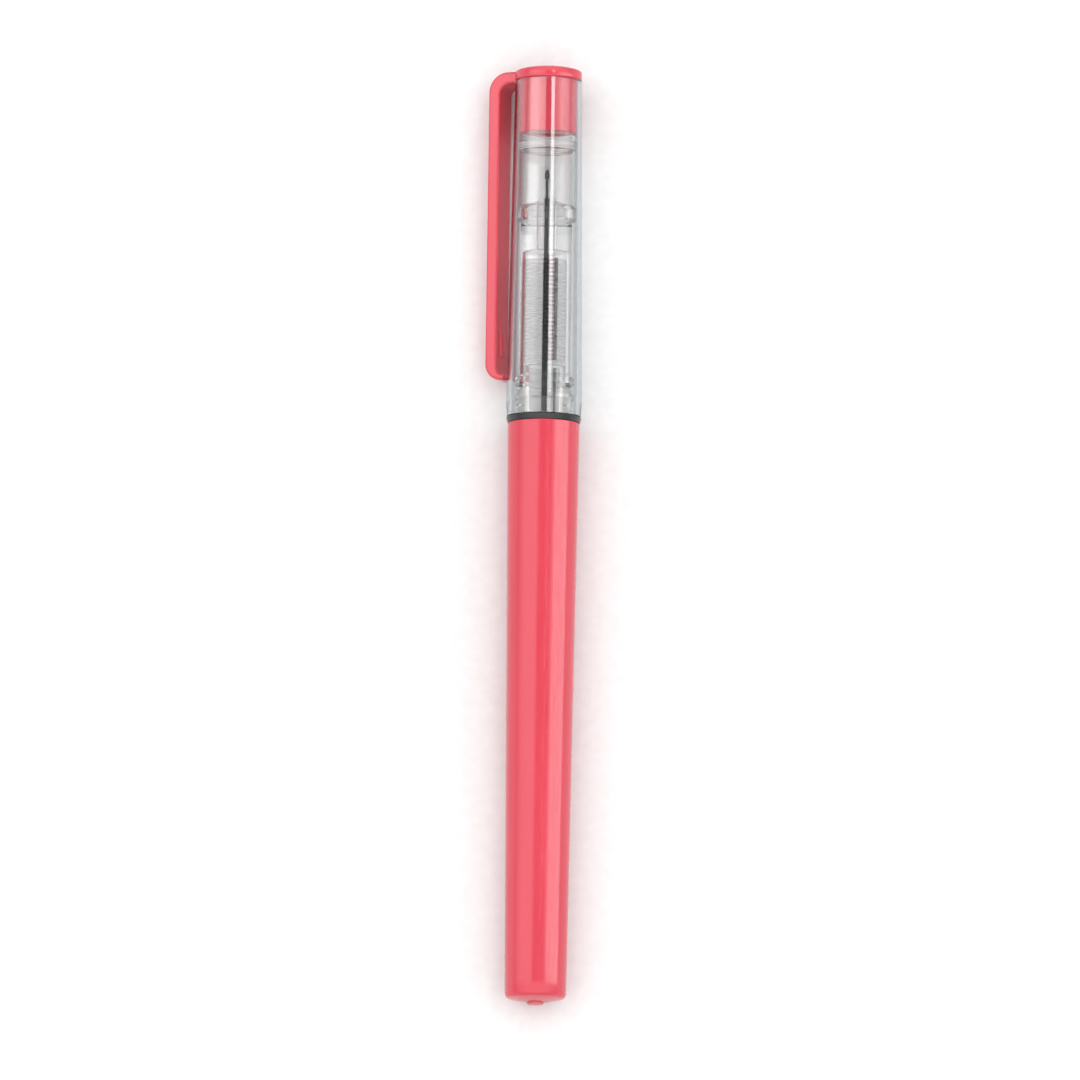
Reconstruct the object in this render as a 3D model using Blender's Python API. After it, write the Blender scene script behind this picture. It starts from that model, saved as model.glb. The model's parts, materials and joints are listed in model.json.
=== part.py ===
"""A refillable brush pen, capped and lying on a table.

Every piece is drawn in the pen's own axes, in millimetres: Z runs along the pen from the flat of its
tail to the dome on its cap, and X points at the clip.  An outline is a closed loop of
(radius, station) points, counter-clockwise, that is turned about Z.  The empty pen_axis then lays the
whole pen down, so that it rests on the rim of its barrel, the rim of its cap and the edge of its clip.
"""

import math

import bmesh
import bpy

MM = 0.001
SHELL_FACETS = 32
INNER_FACETS = 24
ROD_FACETS = 12
SHARP_ANGLE = math.radians(35)
EASE_STEPS = 6
DOME_STEPS = 6

# Stations along the pen: the barrel, the ring and the cap.
TAIL = 0.0
TAIL_RIM = 1.6
BARREL_MOUTH = 86.52
RING_LOW = 86.57
RING_HIGH = 87.45
CAP_MOUTH = 87.5
CAP_WIDEST = 90.5
CAP_TOP = 137.95
FLANGE_LOW = 138.0
DOME_LOW = 139.2
DOME_TOP = 140.0

# Outer radii of the same pieces.
NUB_RADIUS = 1.2
TAIL_EDGE_RADIUS = 4.35
TAIL_RADIUS = 4.55
BARREL_RADIUS = 5.33
RING_RADIUS = 5.55
CAP_MOUTH_RADIUS = 5.48
CAP_RADIUS = 5.6
CAP_TOP_RADIUS = 4.97
FLANGE_RADIUS = 4.95

# The closed end of the barrel and the small plug in it.
TAIL_FLOOR = 3.4
TAIL_HOLE = 1.0
STEM_RADIUS = 0.92
STEM_TOP = 3.2
WELL_RADIUS = 3.55

# The screw thread between the barrel and the connector.
THREAD_LEAD = 1.5
THREAD_DEPTH = 0.3
THREAD_ROWS = 6
THREAD_GAP = 0.13
MALE_ROOT = 3.45
MALE_LOW = 80.4
MALE_HIGH = 85.4
FEMALE_ROOT = MALE_ROOT + THREAD_DEPTH + THREAD_GAP
FEMALE_LOW = 79.9
FEMALE_HIGH = 85.9

# The grip: connector, section shell, ink collector and wick.
COLLAR_RADIUS = 4.15
COLLAR_TOP = 92.1
BEAD_LOW = 89.8
BEAD_TOP = 90.8
BEAD_HEIGHT = 0.2
CONNECTOR_REAR = 79.5
WEB_LOW = 83.9
WEB_HIGH = 86.0
THROAT_RADIUS = 2.4
SPOUT_RADIUS = 1.5
SPOUT_TIP = 77.5
SPIGOT_RADIUS = 3.15
SPIGOT_TOP = 95.0
SECTION_LOW = 92.2
FLARE_RADIUS = 4.35
FLARE_TOP = 93.2
SECTION_BORE = 3.25
SECTION_RADIUS = 3.82
SECTION_SHOULDER = 116.3
NOSE_RADIUS = 3.05
NOSE_TOP = 119.45
NOSE_BORE = 1.3
CHAMBER_TOP = 112.2
FIN_LOW = 95.6
FIN_PITCH = 1.24
FIN_COUNT = 13
FIN_RADIUS = 3.1
HUB_RADIUS = 1.1
HUB_TOP = 111.8
CHANNEL_ANGLE = 16.0
CHANNEL_OFFSET = 1.6
WICK_RADIUS = 0.425
WICK_HOLE = 0.55
WICK_LOW = 77.7
WICK_TOP = 111.1

# The brush tip and the holder round its root.
TIP_TOP = 124.65
TIP_RADIUS = 0.33
TIP_NECK_RADIUS = 0.175
TIP_ROOT_RADIUS = 0.335
TIP_ROOT_LOW = 111.3
TIP_COLLAR_RADIUS = 0.4
TIP_COLLAR_LOW = 119.4
TIP_COLLAR_TOP = 120.2
HOLDER_ROOT = 112.6
HOLDER_RADIUS = 1.5
HOLDER_WAIST = 0.75
HOLDER_TOP = 123.0

# The inside of the cap.
CAP_MOUTH_BORE = 4.9
CAP_TOP_BORE = 4.42
SEAL_LOW = 116.9
SEAL_DISC = 128.6
SEAL_TOP = 129.6
SEAL_RADIUS = 4.38
SEAL_BORE = 3.2
SEAL_WAIST = 4.2
SEAL_CHAMBER = 3.85
SEAL_CEILING = 127.5
SEAL_SKIRT = 3.75
PLUG_LOW = 129.9
PLUG_RADIUS = 4.3
PLUG_BORE = 3.1
PLUG_CEILING = 136.8

# The ink cartridge.
CARTRIDGE_LOW = 30.0
CARTRIDGE_SHOULDER = 79.2
CARTRIDGE_TOP = 83.7
CARTRIDGE_RADIUS = 3.4
CARTRIDGE_BORE = 2.8
NECK_RADIUS = 2.75
NECK_BORE = 1.6
BALL_RADIUS = 1.2
BALL_STATION = 75.5
INK_TOP = 73.5
INK_RADIUS = 2.65

# The clip: a bent strip whose arch springs from the flange of the cap's plug.
CLIP_OUTER = 8.8
CLIP_INNER = 7.0
CLIP_WIDTH = 4.4
CLIP_EDGE = 0.35
CLIP_TIP = 93.2
ARCH_TOP = 139.4
ARCH_UNDERSIDE = 137.65
ARCH_OUTER_BEND = 2.9
ARCH_INNER_BEND = 1.6
TIP_BEND = 2.5
TOE_TOP = 95.15
TOE_END = 6.1
TOE_THICKNESS = 0.85
KNOB_TOP = 103.0
KNOB_CREST = 98.0
KNOB_LOW = 96.8
KNOB_REACH = 6.7
KNOB_WIDTH = 1.7
ROOT_INSIDE = 2.0
NOTCH_WIDTH = 4.6
NOTCH_FLOOR = 137.55

# How the pen lies: pitched until both rims touch, and rolled until the clip's edge touches.
PITCH = math.atan((CAP_RADIUS - TAIL_RADIUS) / (CAP_WIDEST - TAIL_RIM))
AXIS_HEIGHT_AT_TAIL = CAP_RADIUS * math.cos(PITCH) - CAP_WIDEST * math.sin(PITCH)
AXIS_HEIGHT_AT_CLIP = AXIS_HEIGHT_AT_TAIL + (CLIP_TIP + TIP_BEND) * math.sin(PITCH)
EDGE_OUT = CLIP_OUTER - CLIP_EDGE
EDGE_ACROSS = CLIP_WIDTH / 2 - CLIP_EDGE
ROLL = math.asin((AXIS_HEIGHT_AT_CLIP - CLIP_EDGE) / math.hypot(EDGE_OUT, EDGE_ACROSS)) - math.atan2(
    EDGE_ACROSS, EDGE_OUT
)
CLIP_REACH = EDGE_OUT * math.cos(ROLL) + EDGE_ACROSS * math.sin(ROLL) + CLIP_EDGE

CORAL = (0.90, 0.13, 0.17)
CLEAR = (0.93, 0.94, 0.94)
INK_BLACK = (0.015, 0.016, 0.018)

# Colour, roughness, metallic value and opacity of each sub-part.
FINISHES = {
    "barrel": (CORAL, 0.28, 0.0, 1.0),
    "tail_plug": ((0.72, 0.16, 0.19), 0.35, 0.0, 1.0),
    "collar_ring": ((0.03, 0.033, 0.036), 0.4, 0.0, 1.0),
    "connector": (CLEAR, 0.08, 0.0, 0.35),
    "section_shell": ((0.72, 0.74, 0.75), 0.1, 0.0, 0.35),
    "collector": ((0.55, 0.57, 0.58), 0.3, 0.0, 0.8),
    "feed_wick": (INK_BLACK, 0.7, 0.0, 1.0),
    "tip_holder": (CLEAR, 0.15, 0.0, 0.4),
    "brush_tip": (INK_BLACK, 0.6, 0.0, 1.0),
    "cap_shell": (CLEAR, 0.04, 0.0, 0.25),
    "inner_cap": (CLEAR, 0.12, 0.0, 0.3),
    "clip_plug": (CORAL, 0.25, 0.0, 1.0),
    "cartridge_tube": (CLEAR, 0.2, 0.0, 0.45),
    "cartridge_ball": ((0.75, 0.75, 0.76), 0.15, 1.0, 1.0),
    "ink_charge": (INK_BLACK, 0.1, 0.0, 1.0),
}


def material(name):
    """The finish of one sub-part."""
    colour, roughness, metallic, alpha = FINISHES[name]
    made = bpy.data.materials.new(name)
    made.use_nodes = True
    made.diffuse_color = (*colour, alpha)
    shader = made.node_tree.nodes["Principled BSDF"]
    shader.inputs["Base Color"].default_value = (*colour, 1.0)
    shader.inputs["Roughness"].default_value = roughness
    shader.inputs["Metallic"].default_value = metallic
    shader.inputs["Alpha"].default_value = alpha
    return made


def empty(name, parent=None, station=0.0):
    """A carrier on the pen's axis, for one group of pieces that move together."""
    made = bpy.data.objects.new(name, None)
    bpy.context.scene.collection.objects.link(made)
    made.parent = parent
    made.location.z = station * MM
    return made


def add_object(name, bm, carrier, station):
    """Turn a bmesh into an object whose origin is on the axis, at the given station."""
    bmesh.ops.translate(bm, verts=bm.verts, vec=(0, 0, -station * MM))
    mesh = bpy.data.meshes.new(name)
    bm.to_mesh(mesh)
    bm.free()
    mesh.shade_smooth()
    mesh.set_sharp_from_angle(angle=SHARP_ANGLE)
    made = bpy.data.objects.new(name, mesh)
    bpy.context.scene.collection.objects.link(made)
    made.parent = carrier
    made.location.z = station * MM - carrier.location.z
    return made


def add_piece(name, bm, carrier, station):
    """A sub-part with its own finish."""
    made = add_object(name, bm, carrier, station)
    made.data.materials.append(material(name))
    return made


def add_guide(name, bm, carrier):
    """A shape that only cuts or joins another one."""
    made = add_object(name, bm, carrier, TAIL)
    made.hide_render = True
    made.display_type = "WIRE"
    return made


def thread_height(station, angle):
    """How far a right-hand thread stands up there, from 0 at its root to 1 at its crest."""
    return 0.5 + 0.5 * math.cos(math.tau * station / THREAD_LEAD - angle)


def thread_rows(radius, low, high, depth):
    """Outline points of a threaded stretch, which fades out at both ends."""
    count = round((high - low) / THREAD_LEAD * THREAD_ROWS)
    rows = []
    for i in range(count + 1):
        fade = min(1.0, i / THREAD_ROWS, (count - i) / THREAD_ROWS)
        rows.append((radius, low + (high - low) * i / count, depth * fade))
    return rows


def turned_point(radius, station, depth, angle):
    """One point of a turned surface; a depth above 0 is a male thread and one below 0 a female one."""
    height = thread_height(station, angle)
    radius += depth * height if depth > 0 else depth * (1 - height)
    return radius * math.cos(angle) * MM, radius * math.sin(angle) * MM, station * MM


def turned(outline, facets, first=0.0, sweep=360.0):
    """A closed solid turned about Z; with a sweep under 360 degrees its two ends are flat."""
    bm = bmesh.new()
    steps = facets if sweep >= 360 else facets + 1
    angles = [math.radians(first + sweep * i / facets) for i in range(steps)]
    rings = []
    for radius, station, *depth in outline:
        if radius == 0:
            rings.append([bm.verts.new((0, 0, station * MM))] * steps)
        else:
            rings.append([bm.verts.new(turned_point(radius, station, sum(depth), a)) for a in angles])
    for ring, following in zip(rings, rings[1:] + rings[:1]):
        for i in range(facets):
            j = (i + 1) % steps
            corners = list(dict.fromkeys((ring[i], ring[j], following[j], following[i])))
            if len(corners) > 2:
                bm.faces.new(corners)
    if sweep < 360:
        bm.faces.new([ring[0] for ring in rings])
        bm.faces.new([ring[-1] for ring in reversed(rings)])
    return bm


def arc(centre, across, along, start, end, steps):
    """Points along an arc of an ellipse with those two half-axes, between two angles in degrees."""
    angles = [math.radians(start + (end - start) * i / steps) for i in range(steps + 1)]
    return [(centre[0] + across * math.cos(a), centre[1] + along * math.sin(a)) for a in angles]


def slab(outline, width):
    """A closed (x, z) outline given a width along Y."""
    bm = bmesh.new()
    sides = [[bm.verts.new((x * MM, y * MM, z * MM)) for x, z in outline] for y in (-width / 2, width / 2)]
    bm.faces.new(sides[0])
    bm.faces.new(reversed(sides[1]))
    for i in range(len(outline)):
        j = (i + 1) % len(outline)
        bm.faces.new((sides[0][j], sides[0][i], sides[1][i], sides[1][j]))
    bmesh.ops.recalc_face_normals(bm, faces=bm.faces)
    return bm


def add_barrel(carrier):
    """The long tapered barrel, threaded inside its mouth and open at the tail for its plug."""
    outline = [
        (TAIL_HOLE, 1.0),
        (NUB_RADIUS + 0.06, 1.0),
        (NUB_RADIUS + 0.06, 0.27),
        (TAIL_EDGE_RADIUS - 0.35, 0.84),
        (TAIL_EDGE_RADIUS, 1.02),
        (TAIL_RADIUS, TAIL_RIM),
        (BARREL_RADIUS, BARREL_MOUTH),
        (FEMALE_ROOT + 0.12, BARREL_MOUTH),
        (FEMALE_ROOT, BARREL_MOUTH - 0.2),
        *reversed(thread_rows(FEMALE_ROOT, FEMALE_LOW, FEMALE_HIGH, -THREAD_DEPTH)),
        (FEMALE_ROOT + 0.1, FEMALE_LOW - 0.4),
        (WELL_RADIUS, TAIL_FLOOR + 1.0),
        (WELL_RADIUS - 0.35, TAIL_FLOOR),
        (TAIL_HOLE, TAIL_FLOOR),
    ]
    add_piece("barrel", turned(outline, SHELL_FACETS), carrier, TAIL)


def add_tail_plug(carrier):
    """The small plug that closes the hole in the barrel's tail, with its flat nub outside."""
    outline = [
        (0, TAIL),
        (NUB_RADIUS - 0.15, TAIL),
        (NUB_RADIUS, 0.12),
        (NUB_RADIUS, 0.95),
        (STEM_RADIUS, 0.95),
        (STEM_RADIUS, STEM_TOP),
        (0, STEM_TOP),
    ]
    add_piece("tail_plug", turned(outline, INNER_FACETS), carrier, TAIL)


def add_collar_ring(carrier):
    """The black ring between the barrel's mouth and the cap's mouth."""
    bore = MALE_ROOT + THREAD_DEPTH + 0.1
    outline = [
        (bore, RING_LOW),
        (BARREL_RADIUS, RING_LOW),
        (RING_RADIUS, RING_HIGH - 0.12),
        (RING_RADIUS - 0.1, RING_HIGH),
        (bore, RING_HIGH),
    ]
    add_piece("collar_ring", turned(outline, SHELL_FACETS), carrier, RING_LOW)


def add_connector(carrier):
    """Collar, threaded tail and piercing spout in one clear moulding, with the wick's hole through it."""
    hole = WICK_RADIUS + 0.15
    outline = [
        (2.95, CONNECTOR_REAR),
        (MALE_ROOT - 0.15, CONNECTOR_REAR),
        (MALE_ROOT, CONNECTOR_REAR + 0.3),
        *thread_rows(MALE_ROOT, MALE_LOW, MALE_HIGH, THREAD_DEPTH),
        (MALE_ROOT, CAP_MOUTH),
        (COLLAR_RADIUS - 0.1, CAP_MOUTH),
        (COLLAR_RADIUS, CAP_MOUTH + 0.1),
        (COLLAR_RADIUS, BEAD_LOW),
        (COLLAR_RADIUS + BEAD_HEIGHT, BEAD_LOW + 0.3),
        (COLLAR_RADIUS + BEAD_HEIGHT, BEAD_TOP - 0.3),
        (COLLAR_RADIUS, BEAD_TOP),
        (COLLAR_RADIUS, COLLAR_TOP - 0.2),
        (COLLAR_RADIUS - 0.2, COLLAR_TOP),
        (SPIGOT_RADIUS, COLLAR_TOP),
        (SPIGOT_RADIUS, SPIGOT_TOP),
        (THROAT_RADIUS, SPIGOT_TOP),
        (THROAT_RADIUS - 0.2, WEB_HIGH),
        (hole, WEB_HIGH),
        (hole, SPOUT_TIP),
        (0.9, SPOUT_TIP),
        (SPOUT_RADIUS, SPOUT_TIP + 1.0),
        (SPOUT_RADIUS, WEB_LOW),
        (2.85, WEB_LOW),
    ]
    add_piece("connector", turned(outline, INNER_FACETS), carrier, CONNECTOR_REAR)


def add_section_shell(carrier):
    """The clear grip, with a solid nose that takes the tip's holder."""
    outline = [
        (SECTION_BORE, SECTION_LOW),
        (FLARE_RADIUS, SECTION_LOW),
        (FLARE_RADIUS, FLARE_TOP),
        (SECTION_RADIUS, FLARE_TOP + 0.5),
        (SECTION_RADIUS, SECTION_SHOULDER),
        (SECTION_RADIUS - 0.25, SECTION_SHOULDER + 0.3),
        (NOSE_RADIUS, SECTION_SHOULDER + 0.4),
        (2.75, NOSE_TOP - 0.25),
        (2.5, NOSE_TOP),
        (NOSE_BORE, NOSE_TOP),
        (NOSE_BORE, CHAMBER_TOP + 0.2),
        (SECTION_BORE - 0.1, CHAMBER_TOP),
    ]
    add_piece("section_shell", turned(outline, INNER_FACETS), carrier, SECTION_LOW)


def add_collector(carrier):
    """The comb of fins round the wick, split along its length by the ink's channel."""
    outline = [(WICK_HOLE, FIN_LOW - 0.3), (HUB_RADIUS, FIN_LOW - 0.3)]
    for i in range(FIN_COUNT):
        low = FIN_LOW + FIN_PITCH * i
        high = low + FIN_PITCH / 2
        outline += [(HUB_RADIUS, low), (FIN_RADIUS, low), (FIN_RADIUS, high), (HUB_RADIUS, high)]
    outline += [(HUB_RADIUS, HUB_TOP), (WICK_HOLE, HUB_TOP)]
    channel = 90 + math.degrees(ROLL + math.asin(CHANNEL_OFFSET / FIN_RADIUS))
    comb = turned(outline, INNER_FACETS, channel + CHANNEL_ANGLE / 2, 360 - CHANNEL_ANGLE)
    add_piece("collector", comb, carrier, FIN_LOW)


def add_feed_wick(carrier):
    """The fibre rod that draws the ink from the cartridge to the tip."""
    outline = [
        (0, WICK_LOW),
        (WICK_RADIUS - 0.1, WICK_LOW),
        (WICK_RADIUS, WICK_LOW + 0.2),
        (WICK_RADIUS, WICK_TOP - 0.2),
        (WICK_RADIUS - 0.1, WICK_TOP),
        (0, WICK_TOP),
    ]
    add_piece("feed_wick", turned(outline, ROD_FACETS), carrier, WICK_LOW)


def add_tip_holder(carrier):
    """The clear cone that holds the brush tip in the section's nose."""
    outline = [
        (0.45, HOLDER_ROOT),
        (NOSE_BORE - 0.25, HOLDER_ROOT),
        (NOSE_BORE - 0.1, HOLDER_ROOT + 0.2),
        (NOSE_BORE - 0.1, NOSE_TOP + 0.06),
        (HOLDER_RADIUS, NOSE_TOP + 0.06),
        (HOLDER_RADIUS, NOSE_TOP + 0.35),
        (HOLDER_RADIUS - 0.2, NOSE_TOP + 0.55),
        (HOLDER_WAIST, NOSE_TOP + 1.5),
        (0.45, HOLDER_TOP - 0.2),
        (0.38, HOLDER_TOP),
        (TIP_NECK_RADIUS + 0.07, HOLDER_TOP),
        (TIP_NECK_RADIUS + 0.07, TIP_COLLAR_TOP + 0.35),
        (TIP_COLLAR_RADIUS + 0.07, TIP_COLLAR_TOP + 0.15),
    ]
    add_piece("tip_holder", turned(outline, INNER_FACETS), carrier, NOSE_TOP)


def add_brush_tip(carrier):
    """The extra-fine soft point, its neck, and the root that reaches down to the wick."""
    outline = [
        (0, TIP_ROOT_LOW),
        (TIP_ROOT_RADIUS, TIP_ROOT_LOW),
        (TIP_ROOT_RADIUS, TIP_COLLAR_LOW),
        (TIP_COLLAR_RADIUS, TIP_COLLAR_LOW + 0.1),
        (TIP_COLLAR_RADIUS, TIP_COLLAR_TOP - 0.1),
        (TIP_NECK_RADIUS, TIP_COLLAR_TOP),
        (TIP_NECK_RADIUS, HOLDER_TOP + 0.06),
        (TIP_RADIUS - 0.05, HOLDER_TOP + 0.25),
        (TIP_RADIUS, HOLDER_TOP + 0.55),
        (TIP_RADIUS - 0.06, TIP_TOP - 0.6),
        (0.15, TIP_TOP - 0.15),
        (0.06, TIP_TOP - 0.02),
        (0, TIP_TOP),
    ]
    add_piece("brush_tip", turned(outline, ROD_FACETS), carrier, TIP_ROOT_LOW)


def add_cap_shell(carrier):
    """The clear tube of the cap, with a notch in its top edge that keys the clip."""
    outline = [
        (CAP_MOUTH_BORE, CAP_MOUTH + 0.15),
        (CAP_MOUTH_BORE + 0.15, CAP_MOUTH),
        (CAP_MOUTH_RADIUS - 0.12, CAP_MOUTH),
        (CAP_MOUTH_RADIUS, CAP_MOUTH + 0.15),
        (CAP_RADIUS - 0.02, CAP_WIDEST - 1.0),
        (CAP_RADIUS, CAP_WIDEST),
        (CAP_TOP_RADIUS, CAP_TOP - 0.12),
        (CAP_TOP_RADIUS - 0.12, CAP_TOP),
        (CAP_TOP_BORE, CAP_TOP),
        (CAP_MOUTH_BORE, CAP_WIDEST),
    ]
    shell = add_piece("cap_shell", turned(outline, SHELL_FACETS), carrier, CAP_MOUTH)
    box = [(3.0, NOTCH_FLOOR), (6.0, NOTCH_FLOOR), (6.0, DOME_LOW), (3.0, DOME_LOW)]
    cut = shell.modifiers.new("clip notch", "BOOLEAN")
    cut.object = add_guide("notch_cutter", slab(box, NOTCH_WIDTH), carrier)
    cut.operation = "DIFFERENCE"


def add_inner_cap(carrier):
    """The clear cup inside the cap that seals on the section's nose and keeps the tip moist."""
    outline = [
        (0, SEAL_CEILING),
        (SEAL_CHAMBER - 0.2, SEAL_CEILING),
        (SEAL_CHAMBER, SEAL_CEILING - 0.2),
        (SEAL_CHAMBER, SEAL_LOW + 2.2),
        (SEAL_BORE, SEAL_LOW + 1.6),
        (SEAL_BORE, SEAL_LOW),
        (SEAL_RADIUS - 0.15, SEAL_LOW),
        (SEAL_RADIUS, SEAL_LOW + 0.2),
        (SEAL_RADIUS, SEAL_LOW + 1.7),
        (SEAL_WAIST, SEAL_LOW + 1.9),
        (SEAL_WAIST, SEAL_DISC - 1.2),
        (SEAL_RADIUS, SEAL_DISC - 1.0),
        (SEAL_RADIUS, SEAL_TOP - 0.1),
        (SEAL_RADIUS - 0.1, SEAL_TOP),
        (SEAL_SKIRT, SEAL_TOP),
        (SEAL_SKIRT - 0.1, SEAL_DISC),
        (0, SEAL_DISC),
    ]
    add_piece("inner_cap", turned(outline, INNER_FACETS), carrier, SEAL_LOW)


def eased(start, end):
    """Points along a smooth S from one (x, z) point up to, but without, another one further down."""
    points = []
    for i in range(EASE_STEPS):
        ease = (1 - math.cos(math.pi * i / EASE_STEPS)) / 2
        across = start[0] + (end[0] - start[0]) * ease
        points.append((across, start[1] + (end[1] - start[1]) * i / EASE_STEPS))
    return points


def clip_outline():
    """The clip seen from the side: arch, straight arm and a toe that hooks in towards the cap."""
    inner_bend = (CLIP_INNER - ARCH_INNER_BEND, ARCH_UNDERSIDE - ARCH_INNER_BEND)
    outer_bend = (CLIP_OUTER - ARCH_OUTER_BEND, ARCH_TOP - ARCH_OUTER_BEND)
    tip_centre = (CLIP_OUTER - TIP_BEND, CLIP_TIP + TIP_BEND)
    hook_depth = TOE_TOP - CLIP_TIP - TOE_THICKNESS
    toe_centre = (TOE_END, CLIP_TIP + TOE_THICKNESS / 2)
    return [
        (ROOT_INSIDE, ARCH_UNDERSIDE),
        *arc(inner_bend, ARCH_INNER_BEND, ARCH_INNER_BEND, 90, 0, 5),
        *arc((TOE_END, TOE_TOP), CLIP_INNER - TOE_END, hook_depth, 0, -90, 5),
        *arc(toe_centre, TOE_THICKNESS / 2, TOE_THICKNESS / 2, 90, 270, 6)[1:],
        *arc(tip_centre, TIP_BEND, TIP_BEND, 270, 360, 6),
        *arc(outer_bend, ARCH_OUTER_BEND, ARCH_OUTER_BEND, 0, 90, 6),
        (ROOT_INSIDE, ARCH_TOP),
    ]


def knob_outline():
    """The narrow ridge on the clip's inner face, which keeps a pocket's edge from sliding out."""
    root = CLIP_INNER + 0.4
    return [
        (root, KNOB_TOP),
        *eased((CLIP_INNER, KNOB_TOP), (KNOB_REACH, KNOB_CREST)),
        *arc((CLIP_INNER, KNOB_CREST), CLIP_INNER - KNOB_REACH, KNOB_CREST - KNOB_LOW, 180, 270, 5),
        (root, KNOB_LOW),
    ]


def add_clip_plug(carrier):
    """Clip, flange, dome and plug in one moulding."""
    dome = arc((0, DOME_LOW), FLANGE_RADIUS, DOME_TOP - DOME_LOW, 0, 90, DOME_STEPS)
    outline = [
        (0, PLUG_CEILING),
        (PLUG_BORE - 0.3, PLUG_CEILING),
        (PLUG_BORE, PLUG_CEILING - 0.3),
        (PLUG_BORE, PLUG_LOW),
        (PLUG_RADIUS - 0.2, PLUG_LOW),
        (PLUG_RADIUS, PLUG_LOW + 0.2),
        (PLUG_RADIUS, FLANGE_LOW),
        (FLANGE_RADIUS - 0.15, FLANGE_LOW),
        (FLANGE_RADIUS, FLANGE_LOW + 0.15),
        *dome[:-1],
        (0, DOME_TOP),
    ]
    clip = add_piece("clip_plug", slab(clip_outline(), CLIP_WIDTH), carrier, CAP_MOUTH)
    edge = clip.modifiers.new("round edges", "BEVEL")
    edge.width = CLIP_EDGE * MM
    edge.segments = 2
    edge.angle_limit = math.radians(60)
    bodies = {
        "knob": slab(knob_outline(), KNOB_WIDTH),
        "plug": turned(outline, SHELL_FACETS),
    }
    for name, body in bodies.items():
        join = clip.modifiers.new(name, "BOOLEAN")
        join.object = add_guide(name + "_body", body, carrier)
        join.operation = "UNION"


def add_cartridge_tube(carrier):
    """The ink's tube, closed at the rear, whose neck sits over the connector's spout."""
    outline = [
        (0, CARTRIDGE_LOW),
        (CARTRIDGE_RADIUS - 0.5, CARTRIDGE_LOW),
        (CARTRIDGE_RADIUS, CARTRIDGE_LOW + 0.6),
        (CARTRIDGE_RADIUS, CARTRIDGE_SHOULDER - 0.9),
        (NECK_RADIUS, CARTRIDGE_SHOULDER),
        (NECK_RADIUS, CARTRIDGE_TOP - 0.1),
        (NECK_RADIUS - 0.15, CARTRIDGE_TOP),
        (NECK_BORE, CARTRIDGE_TOP),
        (NECK_BORE, CARTRIDGE_SHOULDER - 0.4),
        (CARTRIDGE_BORE, CARTRIDGE_SHOULDER - 1.4),
        (CARTRIDGE_BORE, CARTRIDGE_LOW + 1.4),
        (CARTRIDGE_BORE - 0.4, CARTRIDGE_LOW + 1.0),
        (0, CARTRIDGE_LOW + 1.0),
    ]
    add_piece("cartridge_tube", turned(outline, INNER_FACETS), carrier, CARTRIDGE_LOW)


def add_cartridge_ball(carrier):
    """The steel ball that sealed the neck, pushed inside and lying on the tube's lower wall."""
    bm = bmesh.new()
    bmesh.ops.create_uvsphere(bm, u_segments=16, v_segments=8, radius=BALL_RADIUS * MM)
    aside = CARTRIDGE_BORE - BALL_RADIUS - 0.05
    place = (aside * math.sin(ROLL), -aside * math.cos(ROLL), BALL_STATION)
    bmesh.ops.translate(bm, verts=bm.verts, vec=[value * MM for value in place])
    add_piece("cartridge_ball", bm, carrier, BALL_STATION)


def add_ink_charge(carrier):
    """The ink that fills the cartridge."""
    low = CARTRIDGE_LOW + 1.1
    outline = [(0, low), (2.2, low), (INK_RADIUS, low + 0.5), (INK_RADIUS, INK_TOP), (0, INK_TOP)]
    add_piece("ink_charge", turned(outline, ROD_FACETS), carrier, low)


def lay_down(pen):
    """Lay the upright pen on the ground plane, its middle over the origin and its cap towards +Y."""
    pen.rotation_mode = "ZYX"
    pen.rotation_euler = (PITCH - math.pi / 2, 0, math.pi - ROLL)
    aside = (CLIP_REACH - CAP_RADIUS) / 2
    middle = DOME_TOP / 2 * math.cos(PITCH)
    pen.location = (aside * MM, -middle * MM, AXIS_HEIGHT_AT_TAIL * MM)


def build():
    """Model every piece on its carrier, then lay the pen down."""
    for old in list(bpy.data.objects):
        bpy.data.objects.remove(old, do_unlink=True)
    pen = empty("pen_axis")
    barrel = empty("barrel_group", pen, TAIL)
    add_barrel(barrel)
    add_tail_plug(barrel)
    ring = empty("ring_group", pen, RING_LOW)
    add_collar_ring(ring)
    section = empty("section_group", pen, CAP_MOUTH)
    add_connector(section)
    add_section_shell(section)
    add_collector(section)
    add_feed_wick(section)
    add_tip_holder(section)
    add_brush_tip(section)
    cap = empty("cap_group", pen, CAP_MOUTH)
    add_cap_shell(cap)
    add_inner_cap(cap)
    add_clip_plug(cap)
    cartridge = empty("cartridge_group", pen, CARTRIDGE_LOW)
    add_cartridge_tube(cartridge)
    add_cartridge_ball(cartridge)
    add_ink_charge(cartridge)
    lay_down(pen)


build()
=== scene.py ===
"""The looks of a capped brush pen that lies on a pale floor.

Every piece is drawn in the pen's own axes, in millimetres: Z runs from the flat of the tail to the
dome on the cap, and X points at the clip.  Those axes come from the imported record, and each piece
stands for the CAD node of the same shape.
"""

import json
import math

import bmesh
import bpy
from mathutils import Matrix, Vector


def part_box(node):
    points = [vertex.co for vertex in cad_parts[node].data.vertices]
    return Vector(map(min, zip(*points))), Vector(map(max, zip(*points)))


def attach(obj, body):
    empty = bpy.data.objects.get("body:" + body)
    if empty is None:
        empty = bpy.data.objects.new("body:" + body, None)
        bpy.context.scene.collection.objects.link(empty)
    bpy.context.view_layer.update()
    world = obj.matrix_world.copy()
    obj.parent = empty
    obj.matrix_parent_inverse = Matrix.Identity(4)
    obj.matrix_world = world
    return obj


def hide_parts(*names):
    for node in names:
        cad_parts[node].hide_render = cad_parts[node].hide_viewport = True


MM = 0.001
SHELL_FACETS = 128
INNER_FACETS = 96
ROD_FACETS = 48
FILLET_STEPS = 5
EASE_STEPS = 16
SHARP_ANGLE = math.radians(32)

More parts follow.
